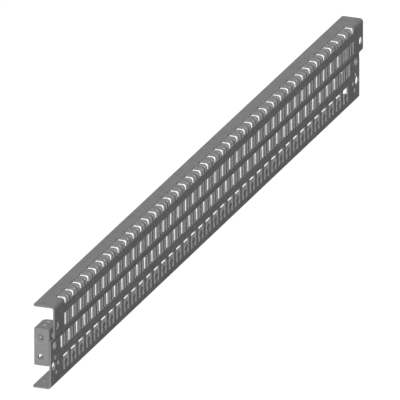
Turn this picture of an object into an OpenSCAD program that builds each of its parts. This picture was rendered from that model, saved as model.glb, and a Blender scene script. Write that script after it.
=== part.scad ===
// Slotted sheet-steel wiring duct with a bent bracket inside each end.
// X runs along the duct, Y goes from the slotted web into the channel, and Z is up. Sizes in mm.
// The origin is under the middle of the duct's box, on the surface it stands on.

/* [Sheet] */
// Length of the upper half of the sheet, and of the lower half
sheet_l = 1048; // [500:1:2100]
// Height over both flanges
web_h = 99.5; // [96:0.5:140]
// Thickness of the sheet
sheet_t = 2; // [1:0.1:2.4]
// Inside radius of the two long bends
bend_r = 2; // [0.5:0.1:4]
// Depth of the top flange, from the outside of the web
top_flange = 27.2; // [20:0.1:60]
// Depth of the bottom flange, from the outside of the web
bottom_flange = 23.3; // [14:0.1:60]
// Level of the step in both ends
step_z = 60; // [57:0.5:64]
// How far the upper half is shifted along the duct
step_l = 12.5; // [0:0.5:20]
// Radius of the free corners of both flanges
flange_r = 2.5; // [0.5:0.1:6]
// Radius of the free corner at each step
step_r = 1.5; // [0.5:0.1:4]
// Level of the shallow crease that runs along the web
crease_z = 58.6; // [56:0.1:60]
// Depth of the crease
crease_d = 0.5; // [0.1:0.1:0.9]
// Height of the crease's steep side
crease_h = 1; // [0.5:0.1:2]
// Height of its gentle side, below the steep one
crease_run = 9; // [4:0.5:12]

/* [Slots] */
// Spacing of the wide slots
pitch = 25; // [24:0.5:50]
// Plain length at each end of a row, at least, up to its first wide slot's middle
row_margin = 36; // [30:0.5:60]
// Width of a wide slot
wide_w = 7.7; // [4:0.1:9]
// Width of a narrow slot
narrow_w = 4.2; // [2:0.1:5]
// Spacing of the two narrow slots between wide ones
narrow_gap = 8.8; // [6:0.1:10]
// Reach of the top row into the flange, from the outside of the web
top_row_reach = 11.6; // [6:0.1:18]
// Reach of the top row down the web, from the top
top_row_drop = 8.2; // [5:0.1:14]
// Lower end of the upper row
upper_row_z = 64.3; // [61:0.1:70]
// Height of a slot in the upper row
upper_row_h = 16.4; // [8:0.1:18]
// Lower end of the lower row
lower_row_z = 39.7; // [34:0.1:42]
// Height of a slot in the lower row
lower_row_h = 15.9; // [8:0.1:17]

/* [Tie windows] */
// Width of a window
window_w = 17; // [14:0.1:21]
// Lower end of a window
window_z = 9.6; // [6:0.1:11]
// Height of a window
window_h = 19.5; // [14:0.1:23]
// Width of the neck of the tongue in a window
neck_w = 6.5; // [3:0.1:7]
// Diameter of the tongue's half-round head
head_d = 11.4; // [8:0.1:12]
// Height of the tongue, over its head
tongue_h = 12.5; // [10:0.1:14]

/* [End holes] */
// Diameter of the hole at each end of the upper half
hook_d = 10.8; // [4:0.1:12]
// Its middle, from the end
hook_x = 8.2; // [7:0.1:12]
// Its level
hook_z = 73.6; // [68:0.1:78]
// Diameter of the hole through the sheet and the bracket
bolt_d = 10.8; // [5:0.1:12]
// Its middle, from the end
bolt_x = 12.2; // [9:0.1:20]
// Its level
bolt_z = 51.5; // [46:0.1:52]
// Diameter of the cable hole
cable_d = 11.2; // [5:0.1:12]
// Its middle, from the end
cable_x = 8.8; // [7:0.1:12]
// Its level
cable_z = 26.2; // [14:0.1:30]
// Diameter of the three screw holes around it
screw_d = 6; // [3:0.1:6]
// Distance of the high screw hole from the end
high_screw_x = 14.2; // [12:0.1:18]
// Height of the high screw hole over the cable hole
high_screw_z = 9.4; // [8.5:0.1:11]
// Distance of the middle screw hole from the end
mid_screw_x = 23; // [20:0.1:28]
// Distance of the low screw hole from the end
low_screw_x = 17.6; // [12:0.1:22]
// Depth of the low screw hole under the cable hole
low_screw_z = 10.2; // [8.5:0.1:14]

/* [Brackets] */
// Length of a bracket along the duct
bracket_l = 32; // [30:0.5:34]
// Gap between a bracket and the web, left by their coats
bracket_gap = 0.1; // [0.1:0.1:0.5]
// Depth of a bracket's end, top and bottom plates
bracket_w = 19; // [16:0.1:19.5]
// Lower edge of a bracket
bracket_z = 28.8; // [24:0.1:32]
// Height of a bracket
bracket_h = 46.4; // [44:0.2:54]
// Thickness of a bracket's sheet
bracket_t = 3; // [1:0.1:3]
// Radius inside a bracket's bends
bracket_r = 0.5; // [0.2:0.1:2]
// Radius outside a bracket's bends
bracket_edge_r = 2; // [1:0.1:4]
// Radius of the free corners of a bracket's top and bottom plates
corner_r = 6; // [1:0.5:8]
// Diameter of the fixing holes in a bracket's end and side plates
fixing_d = 7; // [3:0.1:8]
// Spacing of the side plate's holes, and of the end plate's hole and dome
fixing_gap = 25; // [16:0.5:28]
// Distance of the end plate's hole and dome from the web
fixing_y = 10.6; // [9:0.1:12.5]
// Diameter of the locating dome pressed out of the end plate
dome_d = 6.6; // [4:0.1:8]
// Height of the dome
dome_h = 2; // [0.5:0.1:2.5]
// Distance of the side plate's holes from the end
fixing_x = 12; // [9:0.1:20]
// Diameter of the countersunk holes in a bracket's top plate, at its surface
top_hole_d = 5; // [4:0.1:6]
// Diameter of their bore
top_bore_d = 3; // [2:0.1:3.5]
// Distance of the first of them from the end
top_hole_x = 12; // [8:0.1:13]
// Spacing of the two holes
top_hole_gap = 12; // [8:0.1:13]

/* [Hidden] */

$fn = 48;
// Overrun of every cutter past the face it cuts
cut = 1;
outer_r = bend_r + sheet_t;
// Wide slots in a row, as many as leave the margins, and the first one's middle
wide_n = floor((sheet_l - 2 * row_margin) / pitch) + 1;
first_wide = (sheet_l - (wide_n - 1) * pitch) / 2;
window_n = wide_n - 1;
steel = [0.49, 0.49, 0.49];

// Places everything over the origin
module on_origin() {
    translate([-(sheet_l + step_l - dome_h) / 2, -top_flange / 2, 0]) children();
}

// Turns a plan drawn in X and Z into a plate that stands on the X axis, d thick, from the Y given
module upright(y, d) {
    translate([0, y + d, 0]) rotate([90, 0, 0]) linear_extrude(d) children();
}

// Turns a section drawn in Y and Z into a bar of length l along X
module along(l) {
    rotate([90, 0, 90]) linear_extrude(l) children();
}

// A rectangle from the origin whose corner there is rounded
module rounded_corner(w, h, r) {
    translate([r, 0]) square([w - r, h]);
    translate([0, r]) square([w, h - r]);
    translate([r, r]) circle(r);
}

// A rectangle from the origin whose two corners on the Y axis are rounded
module rounded_side(w, h, r) {
    translate([r, 0]) square([w - r, h]);
    translate([0, r]) square([w, h - 2 * r]);
    for (y = [r, h - r]) translate([r, y]) circle(r);
}

// Section of a flange of depth w with its bend and the web above it, up to height h
module angle_section(w, h) {
    difference() {
        rounded_corner(w, h, outer_r);
        translate([sheet_t, sheet_t]) rounded_corner(w, h, bend_r);
    }
}

// One wide slot and the pair of narrow ones after it, or the wide one alone at the end of a row
module slot_group(h, last) {
    translate([-wide_w / 2, 0]) square([wide_w, h]);
    if (!last)
        for (side = [-1, 1])
            translate([pitch / 2 + side * narrow_gap / 2 - narrow_w / 2, 0]) square([narrow_w, h]);
}

// A row of slots of height h, from level 0
module slot_row(h) {
    for (i = [0 : wide_n - 1])
        translate([first_wide + i * pitch, 0]) slot_group(h, i == wide_n - 1);
}

// A tongue with a half-round head that a cable tie hooks under
module tongue() {
    translate([-neck_w / 2, -cut]) square([neck_w, tongue_h - head_d / 2 + cut]);
    translate([0, tongue_h - head_d / 2]) intersection() {
        circle(d = head_d);
        translate([-head_d / 2, 0]) square([head_d, head_d / 2]);
    }
}

// A window with its tongue
module tie_window() {
    difference() {
        translate([-window_w / 2, 0]) square([window_w, window_h]);
        tongue();
    }
}

// Does the same at the two ends of a sheet that is sheet_l long
module both_ends() {
    children();
    translate([sheet_l, 0]) mirror([1, 0]) children();
}

// Holes near one end of the lower half
module lower_end_holes() {
    translate([bolt_x, bolt_z]) circle(d = bolt_d);
    translate([cable_x, cable_z]) circle(d = cable_d);
    translate([high_screw_x, cable_z + high_screw_z]) circle(d = screw_d);
    translate([mid_screw_x, cable_z]) circle(d = screw_d);
    translate([low_screw_x, cable_z - low_screw_z]) circle(d = screw_d);
}

// Cut-outs of the lower half, drawn on the web
module lower_cuts() {
    translate([0, lower_row_z]) slot_row(lower_row_h);
    for (i = [0 : window_n - 1])
        translate([first_wide + (i + 0.5) * pitch, window_z]) tie_window();
    both_ends() lower_end_holes();
}

// Cut-outs of the upper half, drawn on the web
module upper_cuts() {
    translate([0, upper_row_z]) slot_row(upper_row_h);
    both_ends() translate([hook_x, hook_z]) circle(d = hook_d);
}

// Plan of a flange of depth w, with its free corners rounded
module flange_plan(w) {
    translate([0, w]) rotate(-90) rounded_side(w, sheet_l, flange_r);
}

// Lower half: bottom flange and web up to the step
module lower_half() {
    intersection() {
        along(sheet_l) angle_section(bottom_flange, outer_r + cut);
        linear_extrude(outer_r) flange_plan(bottom_flange);
    }
    upright(0, sheet_t) difference() {
        translate([0, step_z]) mirror([0, 1]) rounded_corner(sheet_l, step_z - outer_r, step_r);
        lower_cuts();
    }
}

// Upper half: web from the step up and top flange, with the row of slots that wraps its bend
module upper_half() {
    upper_h = web_h - top_row_drop;
    upright(0, sheet_t) difference() {
        translate([sheet_l, step_z]) mirror([1, 0])
            rounded_corner(sheet_l, upper_h - step_z, step_r);
        upper_cuts();
    }
    difference() {
        intersection() {
            translate([0, 0, web_h]) mirror([0, 0, 1]) along(sheet_l)
                angle_section(top_flange, top_row_drop);
            translate([0, 0, upper_h]) linear_extrude(top_row_drop) flange_plan(top_flange);
        }
        translate([0, 0, upper_h]) upright(-cut, top_row_reach + cut) slot_row(top_row_drop + cut);
    }
}

// Shallow crease along the outside of the web, where the two halves meet
module crease() {
    steep_z = crease_run + crease_h;
    outline = [[-cut, 0], [0, 0], [crease_d, crease_run], [0, steep_z], [-cut, steep_z]];
    translate([-cut, 0, crease_z + crease_h / 2 - steep_z])
        along(sheet_l + step_l + 2 * cut) polygon(outline);
}

module duct_profile() {
    color(steel) on_origin() difference() {
        union() {
            lower_half();
            translate([step_l, 0, 0]) upper_half();
        }
        crease();
    }
}

// Block of a bracket's outline, less d on its four plated sides, bent to radius r
module bracket_block(d, r, extra) {
    intersection() {
        translate([d, d, 0]) linear_extrude(bracket_h)
            rounded_corner(bracket_l - d + extra, bracket_w - d + extra, r);
        translate([d, d, d]) along(bracket_l - d + extra)
            rounded_side(bracket_w - d + extra, bracket_h - 2 * d, r);
    }
}

// Rounds the free corner of the top and bottom plates
module bracket_free_corner() {
    translate([bracket_l - corner_r, bracket_w - corner_r, -cut]) linear_extrude(bracket_h + 2 * cut)
        difference() {
            square(corner_r + cut);
            circle(corner_r);
        }
}

// Cap of a ball that stands dome_h out of the YZ plane towards -X, with the ball's next slice of depth d
module dome(d) {
    ball_r = (dome_d * dome_d / 4 + dome_h * dome_h) / (2 * dome_h);
    intersection() {
        translate([ball_r - dome_h, 0, 0]) sphere(ball_r);
        translate([-dome_h - cut, -2 * dome_d, -2 * dome_d])
            cube([dome_h + cut + d, 4 * dome_d, 4 * dome_d]);
    }
}

// Cutter of a countersunk hole, down from the face of a plate at level 0
module countersunk_hole() {
    translate([0, 0, -bracket_t - cut]) cylinder(h = bracket_t + 2 * cut, d = top_bore_d);
    translate([0, 0, -top_hole_d / 2])
        cylinder(h = top_hole_d / 2 + cut, d1 = 0, d2 = top_hole_d + 2 * cut);
}

// Holes in a bracket's plates
module bracket_holes() {
    through = bracket_t + 2 * cut;
    translate([-cut, fixing_y, (bracket_h - fixing_gap) / 2]) rotate([0, 90, 0])
        cylinder(h = through, d = fixing_d);
    for (side = [-1, 1])
        translate([fixing_x, -cut, (bracket_h + side * fixing_gap) / 2]) rotate([-90, 0, 0])
            cylinder(h = through, d = fixing_d);
    translate([bolt_x, -cut, bolt_z - bracket_z]) rotate([-90, 0, 0])
        cylinder(h = through, d = bolt_d);
    for (i = [0, 1])
        translate([top_hole_x + i * top_hole_gap, fixing_y, bracket_h]) countersunk_hole();
}

// Bracket with its end plate on the YZ plane and its side plate on the XZ plane
module bracket() {
    dome_z = (bracket_h + fixing_gap) / 2;
    difference() {
        union() {
            bracket_block(0, bracket_edge_r, 0);
            translate([0, fixing_y, dome_z]) dome(bracket_t / 2);
        }
        bracket_block(bracket_t, bracket_r, cut);
        translate([bracket_t, fixing_y, dome_z]) dome(cut);
        bracket_free_corner();
        bracket_holes();
    }
}

module near_end_bracket() {
    color(steel) on_origin() translate([0, sheet_t + bracket_gap, bracket_z]) bracket();
}

module far_end_bracket() {
    color(steel) on_origin() translate([sheet_l, sheet_t + bracket_gap, bracket_z])
        mirror([1, 0, 0]) bracket();
}

duct_profile();
near_end_bracket();
far_end_bracket();
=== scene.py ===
"""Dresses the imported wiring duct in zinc-coated steel and sets it on a pale floor for the photo's camera."""

import math

import bpy
from bpy.props import FloatProperty, FloatVectorProperty, PointerProperty
from bpy.types import NodeSocket, Operator, Panel, PropertyGroup
from mathutils import Matrix, Vector


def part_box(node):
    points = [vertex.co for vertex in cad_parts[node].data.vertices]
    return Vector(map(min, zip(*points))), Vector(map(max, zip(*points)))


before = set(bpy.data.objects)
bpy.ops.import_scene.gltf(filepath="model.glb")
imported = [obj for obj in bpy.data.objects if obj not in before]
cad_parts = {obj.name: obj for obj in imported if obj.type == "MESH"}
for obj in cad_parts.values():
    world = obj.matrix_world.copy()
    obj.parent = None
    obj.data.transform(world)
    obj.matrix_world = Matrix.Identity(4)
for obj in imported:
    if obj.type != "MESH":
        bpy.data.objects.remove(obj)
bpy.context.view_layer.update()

bl_info = {
    "name": "Wiring Duct Finish",
    "version": (1, 0, 0),
    "blender": (4, 5, 0),
    "location": "3D View > Sidebar > Wiring Duct",
    "description": "Finishes a slotted sheet-steel wiring duct and sets up its stage",
    "category": "Object",
}

BRACKETS = ("near_end_bracket", "far_end_bracket")
WHITE = (1.0, 1.0, 1.0, 1.0)

# How far each detail lightens the zinc, or darkens it where the number is negative
CRYSTAL_TONE = 0.25
STREAK_TONE = 0.1
SCUFF_TONE = 0.1
# Painted shade along the web's crease
CREASE_SHADE = -0.45
# Painted highlight on the dome's crown and painted shade at its foot
DOME_HIGHLIGHT = 0.2
DOME_FOOT_SHADE = -0.4
# Painted highlight on the countersinks
SINK_HIGHLIGHT = 0.3

# Gloss of the coat: what a shiny crystal or a scuff takes off its roughness, and what a crystal adds in metal
COAT_GLOSS = 0.03
CRYSTAL_POLISH = 0.12
SCUFF_POLISH = 0.1
CRYSTAL_METAL = 0.06

# Relief of the coat: height of the crystals beside the rolling ridges, and depth of the whole in metres
CRYSTAL_RELIEF = 0.5
RELIEF_DEPTH = 0.00002

# Zinc crystals: the share of a crystal's own tone, where a soft cloud gives the rest
CRYSTAL_SHARE = 0.45
CLOUD_DETAIL = 3.0

# Rolling grain: repeats per metre along the duct, across it and up
STREAK_SCALE = (5.0, 260.0, 260.0)
STREAK_DETAIL = 3.0
RIDGE_SCALE = (40.0, 2400.0, 2400.0)
RIDGE_DETAIL = 2.0

# Scuffs: repeats per metre of the lines and of the patches that they keep to, and where each begins to show
SCUFF_SCALE = (22.0, 60.0, 900.0)
SCUFF_SLANT = math.radians(24.0)
SCUFF_LIMIT = 0.72
PATCH_SCALE = (14.0, 14.0, 14.0)
PATCH_LIMIT = 0.55
SCUFF_DETAIL = 1.0

# Sheared edges: repeats per metre of the tear, how ragged it is and how deep the burnished band goes
TEAR_SCALE = (1500.0, 1500.0, 1500.0)
TEAR_DETAIL = 3.0
TEAR_ROUGHNESS = 0.65
TEAR_RAGGED = 0.3
BURNISHED_DEPTH = 0.55
BURNISHED_TONE, TORN_TONE = 1.04, 0.96
BURNISHED_ROUGHNESS, TORN_ROUGHNESS = 0.4, 0.7

# Spots of painted light and shade, in radii: where the crown fades out, where the ring lies and how it fades
# to both sides, and how far out a countersink gets its painted highlight
CROWN_FADE = (0.35, 0.7)
RING_PLACE = 0.9
RING_FADE = (0.05, 0.35)
SINK_MARGIN = 1.05

# Parts of a face's normal: past the first it looks along an axis, and past the second it is level
FACING = 0.5
LEVEL = 0.9

# Sockets of a colour Mix node, which have the same names as those of its other kinds
MIX_INPUTS = (0, 6, 7)
MIX_RESULT = 2

# Stage: floor, lamps and camera, with lengths in metres
FLOOR_SIDES = 96
FLOOR_DROP = 0.0002
FLOOR_ROUGHNESS = 0.9
LAMP_DISTANCE = 2.0
LAMP_SPREAD = math.radians(20.0)
CAMERA_CLIP = (1.0, 100.0)


class DuctFinish(PropertyGroup):
    """Finish of the long slotted profile."""

    zinc_colour: FloatVectorProperty(
        name="Zinc Colour",
        description="Colour of the dull zinc coat on the sheet's faces",
        subtype="COLOR",
        min=0.0,
        max=1.0,
        default=(0.205, 0.205, 0.205),
    )
    edge_colour: FloatVectorProperty(
        name="Edge Colour",
        description="Colour of the bare steel where the punch went through",
        subtype="COLOR",
        min=0.0,
        max=1.0,
        default=(0.192, 0.19, 0.188),
    )
    roughness: FloatProperty(
        name="Roughness",
        description="Roughness of the coat where its crystals are dull",
        subtype="FACTOR",
        min=0.2,
        max=1.0,
        default=0.6,
    )
    relief: FloatProperty(
        name="Relief",
        description="Strength of the crystals and ridges that can be felt on the coat",
        subtype="FACTOR",
        min=0.0,
        max=1.0,
        default=0.35,
    )
    crystal_size: FloatProperty(
        name="Crystal Size",
        description="Width of a zinc crystal",
        unit="LENGTH",
        min=0.001,
        default=0.005,
    )
    sheet_thickness: FloatProperty(
        name="Sheet Thickness",
        description="Thickness of the punched sheet",
        unit="LENGTH",
        min=0.0005,
        default=0.002,
    )
    bend_radius: FloatProperty(
        name="Bend Radius",
        description="Outside radius of the bends between the web and the flanges",
        unit="LENGTH",
        min=0.0005,
        default=0.004,
    )
    # The crease's rise and reach place the painted shade line along the web
    crease_rise: FloatProperty(
        name="Crease Rise",
        description="Height of the web's crease over the bottom of the duct",
        unit="LENGTH",
        min=0.0,
        default=0.0585,
    )
    crease_shade_reach: FloatProperty(
        name="Crease Reach",
        description="Reach of the dull line to each side of the crease",
        unit="LENGTH",
        min=0.0005,
        default=0.0019,
    )


class BracketFinish(PropertyGroup):
    """Finish of the two end brackets."""

    zinc_colour: FloatVectorProperty(
        name="Zinc Colour",
        description="Colour of the plated coat on the brackets' faces",
        subtype="COLOR",
        min=0.0,
        max=1.0,
        default=(0.205, 0.205, 0.205),
    )
    edge_colour: FloatVectorProperty(
        name="Edge Colour",
        description="Colour of the brackets' sheared edges",
        subtype="COLOR",
        min=0.0,
        max=1.0,
        default=(0.21, 0.209, 0.207),
    )
    roughness: FloatProperty(
        name="Roughness",
        description="Roughness of the plated coat where its crystals are dull",
        subtype="FACTOR",
        min=0.2,
        max=1.0,
        default=0.55,
    )
    relief: FloatProperty(
        name="Relief",
        description="Strength of the crystals and ridges that can be felt on the plated coat",
        subtype="FACTOR",
        min=0.0,
        max=1.0,
        default=0.3,
    )
    crystal_size: FloatProperty(
        name="Crystal Size",
        description="Width of a crystal in the finer plated coat",
        unit="LENGTH",
        min=0.0005,
        default=0.0025,
    )
    plate_thickness: FloatProperty(
        name="Plate Thickness",
        description="Thickness of the brackets' plate",
        unit="LENGTH",
        min=0.0005,
        default=0.003,
    )
    # The dome's and countersinks' sizes and places below also set where their painted highlight and shade fall
    dome_height: FloatProperty(
        name="Dome Height",
        description="How far the locating dome stands out of the end plate",
        unit="LENGTH",
        min=0.0,
        default=0.002,
    )
    dome_radius: FloatProperty(
        name="Dome Radius",
        description="Radius of the locating dome at its foot",
        unit="LENGTH",
        min=0.0005,
        default=0.0033,
    )
    dome_rise: FloatProperty(
        name="Dome Rise",
        description="Height of the dome's axis over the bottom of its bracket",
        unit="LENGTH",
        min=0.0,
        default=0.0357,
    )
    hole_reach: FloatProperty(
        name="Hole Reach",
        description="Distance of the dome's axis and of the countersunk holes from the bracket's back",
        unit="LENGTH",
        min=0.0,
        default=0.0106,
    )
    sink_radius: FloatProperty(
        name="Sink Radius",
        description="Radius of the countersunk holes at the surface",
        unit="LENGTH",
        min=0.0005,
        default=0.0025,
    )
    sink_spacing: FloatProperty(
        name="Sink Spacing",
        description="Distance from the end plate's face to the first countersunk hole, and on to the second",
        unit="LENGTH",
        min=0.001,
        default=0.012,
    )


class StageSettings(PropertyGroup):
    """Floor, light and camera."""

    floor_colour: FloatVectorProperty(
        name="Floor Colour",
        description="Colour of the floor where light falls on it",
        subtype="COLOR",
        min=0.0,
        max=1.0,
        default=(0.35, 0.35, 0.35),
    )
    floor_glow: FloatProperty(
        name="Floor Glow",
        description="Brightness that the floor adds of itself where it is seen, so that it shows white",
        subtype="FACTOR",
        min=0.0,
        max=1.0,
        default=0.71,
    )
    floor_radius: FloatProperty(
        name="Floor Radius",
        description="Radius of the round floor",
        unit="LENGTH",
        min=1.0,
        default=6.0,
    )
    ambient: FloatProperty(
        name="Ambient Light",
        description="Strength of the even light from all round",
        min=0.0,
        default=0.12,
    )
    key_strength: FloatProperty(
        name="Key Strength",
        description="Strength of the key light",
        min=0.0,
        default=4.42,
    )
    key_direction: FloatVectorProperty(
        name="Key Direction",
        description="Direction from the duct to the key light",
        subtype="DIRECTION",
        default=(-0.829, -0.088, 0.549),
    )
    fill_strength: FloatProperty(
        name="Fill Strength",
        description="Strength of the light on the sides away from the camera",
        min=0.0,
        default=1.94,
    )
    fill_direction: FloatVectorProperty(
        name="Fill Direction",
        description="Direction from the duct to the fill light",
        subtype="DIRECTION",
        default=(0.45, 0.893, 0.0),
    )
    camera_turn: FloatProperty(
        name="Camera Turn",
        description="Angle of the camera around the duct, from the front",
        subtype="ANGLE",
        default=math.radians(-69.254),
    )
    camera_rise: FloatProperty(
        name="Camera Rise",
        description="Angle of the camera over the floor",
        subtype="ANGLE",
        default=math.radians(20.866),
    )
    lens: FloatProperty(
        name="Lens",
        description="Focal length, long enough for a nearly parallel view",
        subtype="DISTANCE_CAMERA",
        min=50.0,
        default=1700.0,
    )
    frame_width: FloatProperty(
        name="Frame Width",
        description="Width that the picture shows at the middle of the duct",
        unit="LENGTH",
        min=0.05,
        default=0.4815,
    )
    aim: FloatVectorProperty(
        name="Aim",
        description="Point in the middle of the picture, right of and above the duct's origin",
        subtype="XYZ",
        unit="LENGTH",
        size=2,
        default=(0.0009, 0.0456),
    )


def add_node(tree, kind, **settings):
    """Add a shader node and give it its settings."""
    made = tree.nodes.new(kind)
    for name, value in settings.items():
        setattr(made, name, value)
    return made


def feed(tree, socket, value):
    """Link another node's output to a socket, or set the socket's own value."""
    if isinstance(value, NodeSocket):
        tree.links.new(value, socket)
    else:
        socket.default_value = value


def compute(tree, operation, *values):
    """Add a Math node over the values and return its result."""
    made = add_node(tree, "ShaderNodeMath", operation=operation)
    for socket, value in zip(made.inputs, values):
        feed(tree, socket, value)
    return made.outputs[0]


def distance_from(tree, value, place):
    """Return how far a value is from a place, to either side."""
    return compute(tree, "ABSOLUTE", compute(tree, "SUBTRACT", value, place))


def axis_distance(tree, first, second, at):
    """Return the distance from an axis, from the two components across it and the place that it passes."""
    offsets = [compute(tree, "SUBTRACT", component, place) for component, place in zip((first, second), at)]
    squares = [compute(tree, "MULTIPLY", offset, offset) for offset in offsets]
    return compute(tree, "SQRT", compute(tree, "ADD", *squares))


def blend_values(tree, share, first, second):
    """Go from the first value to the second as the share goes from 0 to 1."""
    return compute(tree, "MULTIPLY_ADD", share, compute(tree, "SUBTRACT", second, first), first)


def even_tone(tree, value, share):
    """Turn a value between 0 and 1 into a tone round 1, which changes by the share from end to end."""
    return compute(tree, "MULTIPLY_ADD", value, share, 1.0 - share / 2)


def mix_colours(tree, kind, factor, first, second):
    """Add a colour Mix node and return its result."""
    made = add_node(tree, "ShaderNodeMix", data_type="RGBA", blend_type=kind)
    for socket, value in zip(MIX_INPUTS, (factor, first, second)):
        feed(tree, made.inputs[socket], value)
    return made.outputs[MIX_RESULT]


def split_axes(tree, vector):
    """Return the components of a vector, by the names of their axes."""
    made = add_node(tree, "ShaderNodeSeparateXYZ")
    feed(tree, made.inputs[0], vector)
    return made.outputs


def stretch(tree, position, scale, turn=0.0):
    """Scale a position by a different amount along each axis, after a turn about the Y axis."""
    made = add_node(tree, "ShaderNodeMapping")
    feed(tree, made.inputs["Vector"], position)
    made.inputs["Rotation"].default_value = (0.0, turn, 0.0)
    made.inputs["Scale"].default_value = scale
    return made.outputs["Vector"]


def noise(tree, position, detail, roughness=0.5):
    """Add a noise texture on an already scaled position and return its value."""
    made = add_node(tree, "ShaderNodeTexNoise", noise_dimensions="3D")
    feed(tree, made.inputs["Vector"], position)
    for name, value in (("Scale", 1.0), ("Detail", detail), ("Roughness", roughness)):
        made.inputs[name].default_value = value
    return made.outputs[0]


def fade(tree, value, start, stop):
    """Return 1 up to the start and 0 from the stop on, with a smooth fade between them."""
    made = add_node(tree, "ShaderNodeMapRange", interpolation_type="SMOOTHSTEP")
    feed(tree, made.inputs["Value"], value)
    for name, limit in (("From Min", start), ("From Max", stop), ("To Min", 1.0), ("To Max", 0.0)):
        made.inputs[name].default_value = limit
    return made.outputs["Result"]


def start_group(name, inputs, outputs):
    """Make an empty shader node group and return it with what it is given and what it puts out."""
    tree = bpy.data.node_groups.new(name, "ShaderNodeTree")
    for in_out, sockets in (("INPUT", inputs), ("OUTPUT", outputs)):
        for label, kind in sockets:
            tree.interface.new_socket(name=label, in_out=in_out, socket_type="NodeSocket" + kind)
    start = tree.nodes.new("NodeGroupInput")
    end = tree.nodes.new("NodeGroupOutput")
    return tree, start.outputs, end.inputs


def spangle_group():
    """Zinc crystals: a tone for each crystal, softened by a cloud, and how much each one shines."""
    tree, given, result = start_group(
        "Zinc Spangle",
        [("Position", "Vector"), ("Crystal Size", "Float")],
        [("Tone", "Float"), ("Shine", "Float")],
    )
    scaled = add_node(tree, "ShaderNodeVectorMath", operation="SCALE")
    feed(tree, scaled.inputs[0], given["Position"])
    feed(tree, scaled.inputs["Scale"], compute(tree, "DIVIDE", 1.0, given["Crystal Size"]))
    crystals = add_node(tree, "ShaderNodeTexVoronoi", voronoi_dimensions="3D", feature="F1")
    feed(tree, crystals.inputs["Vector"], scaled.outputs[0])
    crystals.inputs["Scale"].default_value = 1.0
    draws = add_node(tree, "ShaderNodeSeparateColor")
    feed(tree, draws.inputs[0], crystals.outputs["Color"])
    cloud = compute(tree, "MULTIPLY", noise(tree, scaled.outputs[0], CLOUD_DETAIL), 1.0 - CRYSTAL_SHARE)
    feed(tree, result["Tone"], compute(tree, "MULTIPLY_ADD", draws.outputs["Red"], CRYSTAL_SHARE, cloud))
    feed(tree, result["Shine"], draws.outputs["Green"])
    return tree


def grain_group():
    """Rolling grain: long streaks along the sheet and the fine ridges that the rolls leave."""
    tree, given, result = start_group(
        "Rolling Grain",
        [("Position", "Vector")],
        [("Streak", "Float"), ("Height", "Float")],
    )
    streaks = stretch(tree, given["Position"], STREAK_SCALE)
    ridges = stretch(tree, given["Position"], RIDGE_SCALE)
    feed(tree, result["Streak"], noise(tree, streaks, STREAK_DETAIL))
    feed(tree, result["Height"], noise(tree, ridges, RIDGE_DETAIL))
    return tree


def marks_group():
    """Handling marks: sparse thin scuffs, slanted across the sheet."""
    tree, given, result = start_group(
        "Handling Marks",
        [("Position", "Vector")],
        [("Scuff", "Float")],
    )
    lines = noise(tree, stretch(tree, given["Position"], SCUFF_SCALE, SCUFF_SLANT), SCUFF_DETAIL)
    patches = noise(tree, stretch(tree, given["Position"], PATCH_SCALE), SCUFF_DETAIL)
    on_line = compute(tree, "GREATER_THAN", lines, SCUFF_LIMIT)
    in_patch = compute(tree, "GREATER_THAN", patches, PATCH_LIMIT)
    feed(tree, result["Scuff"], compute(tree, "MULTIPLY", on_line, in_patch))
    return tree


def shear_group():
    """Sheared edge: a bright burnished band where the punch went in and a rough torn band behind it."""
    tree, given, result = start_group(
        "Sheared Edge",
        [("Position", "Vector"), ("Depth", "Float")],
        [("Tone", "Float"), ("Torn", "Float"), ("Height", "Float")],
    )
    tear = noise(tree, stretch(tree, given["Position"], TEAR_SCALE), TEAR_DETAIL, TEAR_ROUGHNESS)
    ragged = compute(tree, "MULTIPLY_ADD", tear, TEAR_RAGGED, given["Depth"])
    torn = compute(tree, "GREATER_THAN", ragged, BURNISHED_DEPTH)
    tone = compute(tree, "MULTIPLY_ADD", torn, TORN_TONE - BURNISHED_TONE, BURNISHED_TONE)
    feed(tree, result["Tone"], tone)
    feed(tree, result["Torn"], torn)
    feed(tree, result["Height"], compute(tree, "MULTIPLY", tear, torn))
    return tree


def spot_group():
    """Spot of painted light and shade: a crown close to an axis or a line, and a ring at its foot."""
    tree, given, result = start_group(
        "Painted Light Spot",
        [("Distance", "Float"), ("Radius", "Float")],
        [("Crown", "Float"), ("Ring", "Float")],
    )
    reach = compute(tree, "DIVIDE", given["Distance"], given["Radius"])
    feed(tree, result["Crown"], fade(tree, reach, *CROWN_FADE))
    feed(tree, result["Ring"], fade(tree, distance_from(tree, reach, RING_PLACE), *RING_FADE))
    return tree


def shared_groups():
    """Build each shared node group once, and find it again after that."""
    makers = {
        "Zinc Spangle": spangle_group,
        "Rolling Grain": grain_group,
        "Handling Marks": marks_group,
        "Sheared Edge": shear_group,
        "Painted Light Spot": spot_group,
    }
    return {name: bpy.data.node_groups.get(name) or make() for name, make in makers.items()}


def place_group(tree, group, **values):
    """Place a shared group in a material, feed its inputs and return its outputs."""
    made = add_node(tree, "ShaderNodeGroup", node_tree=group)
    for name, value in values.items():
        feed(tree, made.inputs[name.replace("_", " ").title()], value)
    return made.outputs


def start_material(name):
    """Make a material and return it with its nodes, its shader, the position on the piece and the normal."""
    made = bpy.data.materials.new(name)
    made.use_nodes = True
    tree = made.node_tree
    place = add_node(tree, "ShaderNodeTexCoord")
    return made, tree, tree.nodes["Principled BSDF"], place.outputs["Object"], place.outputs["Normal"]


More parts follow.
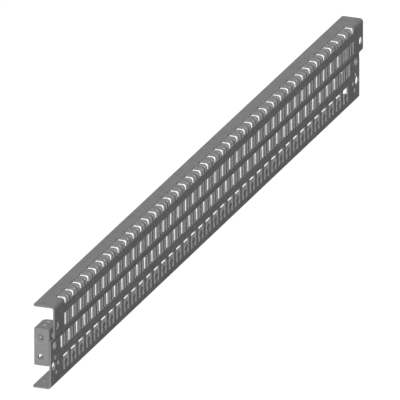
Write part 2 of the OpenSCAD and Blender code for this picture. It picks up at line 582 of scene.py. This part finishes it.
def zinc_steel(tree, shader, position, edge, depth, finish, painted_light):
    """Wire up zinc-coated steel: crystals, grain, scuffs and the given painted light and shade on the faces,
    and sheared metal on the edges.
    """
    groups = shared_groups()
    spangle = place_group(tree, groups["Zinc Spangle"], position=position, crystal_size=finish.crystal_size)
    grain = place_group(tree, groups["Rolling Grain"], position=position)
    marks = place_group(tree, groups["Handling Marks"], position=position)
    shear = place_group(tree, groups["Sheared Edge"], position=position, depth=depth)

    streaked = even_tone(tree, grain["Streak"], STREAK_TONE)
    scuffed = compute(tree, "MULTIPLY_ADD", marks["Scuff"], SCUFF_TONE, 1.0)
    face_tone = even_tone(tree, spangle["Tone"], CRYSTAL_TONE)
    # The painted light and shade multiply into the face colour too
    for tone in (streaked, scuffed, painted_light):
        face_tone = compute(tree, "MULTIPLY", face_tone, tone)
    face_colour = mix_colours(tree, "MULTIPLY", 1.0, (*finish.zinc_colour, 1.0), face_tone)
    edge_colour = mix_colours(tree, "MULTIPLY", 1.0, (*finish.edge_colour, 1.0), shear["Tone"])
    feed(tree, shader.inputs["Base Color"], mix_colours(tree, "MIX", edge, face_colour, edge_colour))

    crystal_rough = compute(tree, "MULTIPLY_ADD", spangle["Shine"], -CRYSTAL_POLISH, finish.roughness)
    face_rough = compute(tree, "MULTIPLY_ADD", marks["Scuff"], -SCUFF_POLISH, crystal_rough)
    tear_rough = TORN_ROUGHNESS - BURNISHED_ROUGHNESS
    edge_rough = compute(tree, "MULTIPLY_ADD", shear["Torn"], tear_rough, BURNISHED_ROUGHNESS)
    feed(tree, shader.inputs["Roughness"], blend_values(tree, edge, face_rough, edge_rough))
    feed(tree, shader.inputs["Metallic"], compute(tree, "MULTIPLY", spangle["Shine"], CRYSTAL_METAL))
    shader.inputs["Specular IOR Level"].default_value = COAT_GLOSS

    ridges = compute(tree, "MULTIPLY_ADD", spangle["Tone"], CRYSTAL_RELIEF, grain["Height"])
    bump = add_node(tree, "ShaderNodeBump")
    bump.inputs["Strength"].default_value = finish.relief
    bump.inputs["Distance"].default_value = RELIEF_DEPTH
    feed(tree, bump.inputs["Height"], blend_values(tree, edge, ridges, shear["Height"]))
    feed(tree, shader.inputs["Normal"], bump.outputs["Normal"])


def crease_painted_shade(tree, place, facing, finish):
    """Painted shade: a darker line that follows the crease along the outside of the web."""
    off = distance_from(tree, place["Z"], finish.crease_rise)
    line = place_group(tree, shared_groups()["Painted Light Spot"], distance=off, radius=finish.crease_shade_reach)
    outside = compute(tree, "LESS_THAN", facing["Y"], -FACING)
    # Painted shade darkens the outside of the web along the crease
    dull = compute(tree, "MULTIPLY", line["Crown"], outside)
    return compute(tree, "MULTIPLY_ADD", dull, CREASE_SHADE, 1.0)


def duct_material(finish):
    """Steel of the profile, whose cut faces are the ones that look along the sheet instead of out of it."""
    made, tree, shader, position, normal = start_material("Duct Zinc Steel")
    place, facing = split_axes(tree, position), split_axes(tree, normal)
    low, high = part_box("duct_profile")
    height = high.z - low.z

    over_bend = compute(tree, "GREATER_THAN", place["Z"], finish.bend_radius)
    under_bend = compute(tree, "LESS_THAN", place["Z"], height - finish.bend_radius)
    in_web = compute(tree, "MULTIPLY", over_bend, under_bend)
    behind_bend = compute(tree, "GREATER_THAN", place["Y"], low.y + finish.bend_radius)
    in_flange = compute(tree, "MULTIPLY", behind_bend, compute(tree, "SUBTRACT", 1.0, in_web))

    tilt = {axis: compute(tree, "ABSOLUTE", facing[axis]) for axis in "XYZ"}
    web_edge = compute(tree, "MULTIPLY", in_web, compute(tree, "LESS_THAN", tilt["Y"], FACING))
    flange_edge = compute(tree, "MULTIPLY", in_flange, compute(tree, "LESS_THAN", tilt["Z"], FACING))
    end_edge = compute(tree, "GREATER_THAN", tilt["X"], FACING)
    edge = compute(tree, "MAXIMUM", end_edge, compute(tree, "MAXIMUM", web_edge, flange_edge))

    web_depth = compute(tree, "SUBTRACT", place["Y"], low.y)
    flange_depth = compute(tree, "SUBTRACT", height / 2, distance_from(tree, place["Z"], height / 2))
    nearest = compute(tree, "MINIMUM", web_depth, flange_depth)
    depth = compute(tree, "DIVIDE", nearest, finish.sheet_thickness)

    painted_light = crease_painted_shade(tree, place, facing, finish)
    zinc_steel(tree, shader, position, edge, depth, finish, painted_light)
    return made


def bracket_painted_light(tree, place, facing, finish):
    """Painted light on the brackets: a painted highlight on the dome's crown with painted shade at its foot,
    and painted highlights on the countersinks.
    """
    near, far = (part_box(node) for node in BRACKETS)
    reach = near[0].y + finish.hole_reach
    from_axis = axis_distance(tree, place["Y"], place["Z"], (reach, near[0].z + finish.dome_rise))
    dome = place_group(tree, shared_groups()["Painted Light Spot"], distance=from_axis, radius=finish.dome_radius)
    # Painted highlight on the dome's crown, then painted shade in a ring at its foot
    tone = compute(tree, "MULTIPLY_ADD", dome["Crown"], DOME_HIGHLIGHT, 1.0)
    tone = compute(tree, "MULTIPLY_ADD", dome["Ring"], DOME_FOOT_SHADE, tone)

    from_middle = distance_from(tree, place["X"], (near[0].x + far[1].x) / 2)
    half = (far[1].x - near[0].x) / 2 - finish.dome_height
    inward = compute(tree, "SUBTRACT", half, from_middle)
    slope = compute(tree, "LESS_THAN", facing["Z"], LEVEL)
    on_top = compute(tree, "GREATER_THAN", place["Z"], near[1].z - finish.plate_thickness)
    # The sloping faces on the plate's top, where the countersinks get a painted highlight
    bare = compute(tree, "MULTIPLY", slope, on_top)
    for count in (1, 2):
        off = axis_distance(tree, inward, place["Y"], (count * finish.sink_spacing, reach))
        inside = compute(tree, "LESS_THAN", off, finish.sink_radius * SINK_MARGIN)
        tone = compute(tree, "MULTIPLY_ADD", compute(tree, "MULTIPLY", inside, bare), SINK_HIGHLIGHT, tone)
    return tone


def bracket_material(finish):
    """Steel of the brackets, whose sheared edges are the ones along their open side."""
    made, tree, shader, position, normal = start_material("Bracket Zinc Steel")
    place, facing = split_axes(tree, position), split_axes(tree, normal)
    low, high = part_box("near_end_bracket")
    at_rim = compute(tree, "GREATER_THAN", place["Y"], high.y - finish.plate_thickness / 4)
    edge = compute(tree, "MULTIPLY", at_rim, compute(tree, "GREATER_THAN", facing["Y"], FACING))

    middle = (low.z + high.z) / 2
    inward = compute(tree, "SUBTRACT", high.z - middle, distance_from(tree, place["Z"], middle))
    depth = compute(tree, "DIVIDE", inward, finish.plate_thickness)

    painted_light = bracket_painted_light(tree, place, facing, finish)
    zinc_steel(tree, shader, position, edge, depth, finish, painted_light)
    return made


def coat(node, material):
    """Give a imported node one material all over."""
    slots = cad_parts[node].data.materials
    slots.clear()
    slots.append(material)


class DUCT_OT_profile(Operator):
    """Coat the slotted profile in dull zinc, with sheared metal in its slots"""

    bl_idname = "duct.profile"
    bl_label = "Finish the Profile"

    def execute(self, context):
        coat("duct_profile", duct_material(context.scene.duct_finish))
        return {"FINISHED"}


class DUCT_OT_brackets(Operator):
    """Coat both end brackets in a finer plated zinc"""

    bl_idname = "duct.brackets"
    bl_label = "Finish the End Brackets"

    def execute(self, context):
        material = bracket_material(context.scene.bracket_finish)
        for node in BRACKETS:
            coat(node, material)
        return {"FINISHED"}


def seen_directly(tree):
    """Return 1 for rays from the camera, from reflections and through glass, and 0 for light on the duct."""
    path = add_node(tree, "ShaderNodeLightPath")
    mirrored = compute(tree, "MAXIMUM", path.outputs["Is Glossy Ray"], path.outputs["Is Transmission Ray"])
    return compute(tree, "MAXIMUM", path.outputs["Is Camera Ray"], mirrored)


def add_floor(stage):
    """Lay a round floor under the duct, which shows as plain white as the photo's ground does."""
    bpy.ops.object.select_all(action="DESELECT")
    bpy.ops.mesh.primitive_circle_add(
        vertices=FLOOR_SIDES,
        radius=stage.floor_radius,
        fill_type="NGON",
        location=(0.0, 0.0, -FLOOR_DROP),
    )
    floor = bpy.context.object
    floor.name = "Floor"
    bpy.ops.object.transform_apply(location=True, rotation=True, scale=True)
    made = bpy.data.materials.new("White Floor")
    made.use_nodes = True
    tree = made.node_tree
    shader = tree.nodes["Principled BSDF"]
    shader.inputs["Base Color"].default_value = (*stage.floor_colour, 1.0)
    shader.inputs["Roughness"].default_value = FLOOR_ROUGHNESS
    shader.inputs["Specular IOR Level"].default_value = 0.0
    shader.inputs["Emission Color"].default_value = WHITE
    glow = compute(tree, "MULTIPLY", seen_directly(tree), stage.floor_glow)
    feed(tree, shader.inputs["Emission Strength"], glow)
    floor.data.materials.append(made)


def add_world(stage):
    """Light the duct evenly from all round, in front of a white background."""
    world = bpy.data.worlds.new("White Studio")
    world.use_nodes = True
    tree = world.node_tree
    backdrop = tree.nodes["Background"]
    backdrop.inputs["Color"].default_value = WHITE
    strength = compute(tree, "MAXIMUM", seen_directly(tree), stage.ambient)
    feed(tree, backdrop.inputs["Strength"], strength)
    bpy.context.scene.world = world


def add_lamp(name, direction, strength):
    """Hang a wide soft lamp, which models the faces and casts no shadows."""
    bpy.ops.object.light_add(type="SUN", location=Vector(direction) * LAMP_DISTANCE)
    lamp = bpy.context.object
    lamp.name = name
    lamp.rotation_euler = Vector(direction).to_track_quat("Z", "Y").to_euler()
    lamp.data.energy = strength
    lamp.data.angle = LAMP_SPREAD
    lamp.data.use_shadow = False


def add_camera(stage):
    """Stand the camera far off at the photo's angle and aim it at the photo's middle."""
    bpy.ops.object.camera_add()
    camera = bpy.context.object
    camera.name = "Photo Camera"
    turn, rise = stage.camera_turn, stage.camera_rise
    back = Vector((math.sin(turn) * math.cos(rise), -math.cos(turn) * math.cos(rise), math.sin(rise)))
    right = Vector((math.cos(turn), math.sin(turn), 0.0))
    up = back.cross(right)
    distance = stage.frame_width * stage.lens / camera.data.sensor_width
    pose = Matrix((right, up, back)).transposed().to_4x4()
    pose.translation = right * stage.aim[0] + up * stage.aim[1] + back * distance
    camera.matrix_world = pose
    camera.data.lens = stage.lens
    camera.data.clip_start, camera.data.clip_end = CAMERA_CLIP
    bpy.context.scene.camera = camera


class DUCT_OT_stage(Operator):
    """Set up the floor, the light and the camera"""

    bl_idname = "duct.stage"
    bl_label = "Set Up the Stage"

    def execute(self, context):
        stage = context.scene.duct_stage
        add_floor(stage)
        add_world(stage)
        add_lamp("Key Light", stage.key_direction, stage.key_strength)
        add_lamp("Fill Light", stage.fill_direction, stage.fill_strength)
        add_camera(stage)
        context.scene.view_settings.view_transform = "Standard"
        return {"FINISHED"}


STEPS = (
    ("duct_finish", DuctFinish, DUCT_OT_profile),
    ("bracket_finish", BracketFinish, DUCT_OT_brackets),
    ("duct_stage", StageSettings, DUCT_OT_stage),
)


class DUCT_PT_sidebar(Panel):
    """Lists each step with its settings in the 3D view's sidebar"""

    bl_idname = "DUCT_PT_sidebar"
    bl_label = "Wiring Duct"
    bl_space_type = "VIEW_3D"
    bl_region_type = "UI"
    bl_category = "Wiring Duct"

    def draw(self, context):
        for name, settings, step in STEPS:
            rows = self.layout.box().column()
            for setting in settings.__annotations__:
                rows.prop(getattr(context.scene, name), setting)
            rows.operator(step.bl_idname)


def listed_classes():
    """Return the classes in the order in which they are registered."""
    return [settings for _, settings, _ in STEPS] + [step for _, _, step in STEPS] + [DUCT_PT_sidebar]


def register():
    """Register the classes and give the scene its settings."""
    for made in listed_classes():
        bpy.utils.register_class(made)
    for name, settings, _ in STEPS:
        setattr(bpy.types.Scene, name, PointerProperty(type=settings))


def unregister():
    """Take the settings off the scene and the classes out of Blender."""
    for name, _, _ in STEPS:
        delattr(bpy.types.Scene, name)
    for made in reversed(listed_classes()):
        bpy.utils.unregister_class(made)


def main():
    """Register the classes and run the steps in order."""
    register()
    bpy.ops.duct.profile()
    bpy.ops.duct.brackets()
    bpy.ops.duct.stage()


if __name__ == "__main__":
    main()
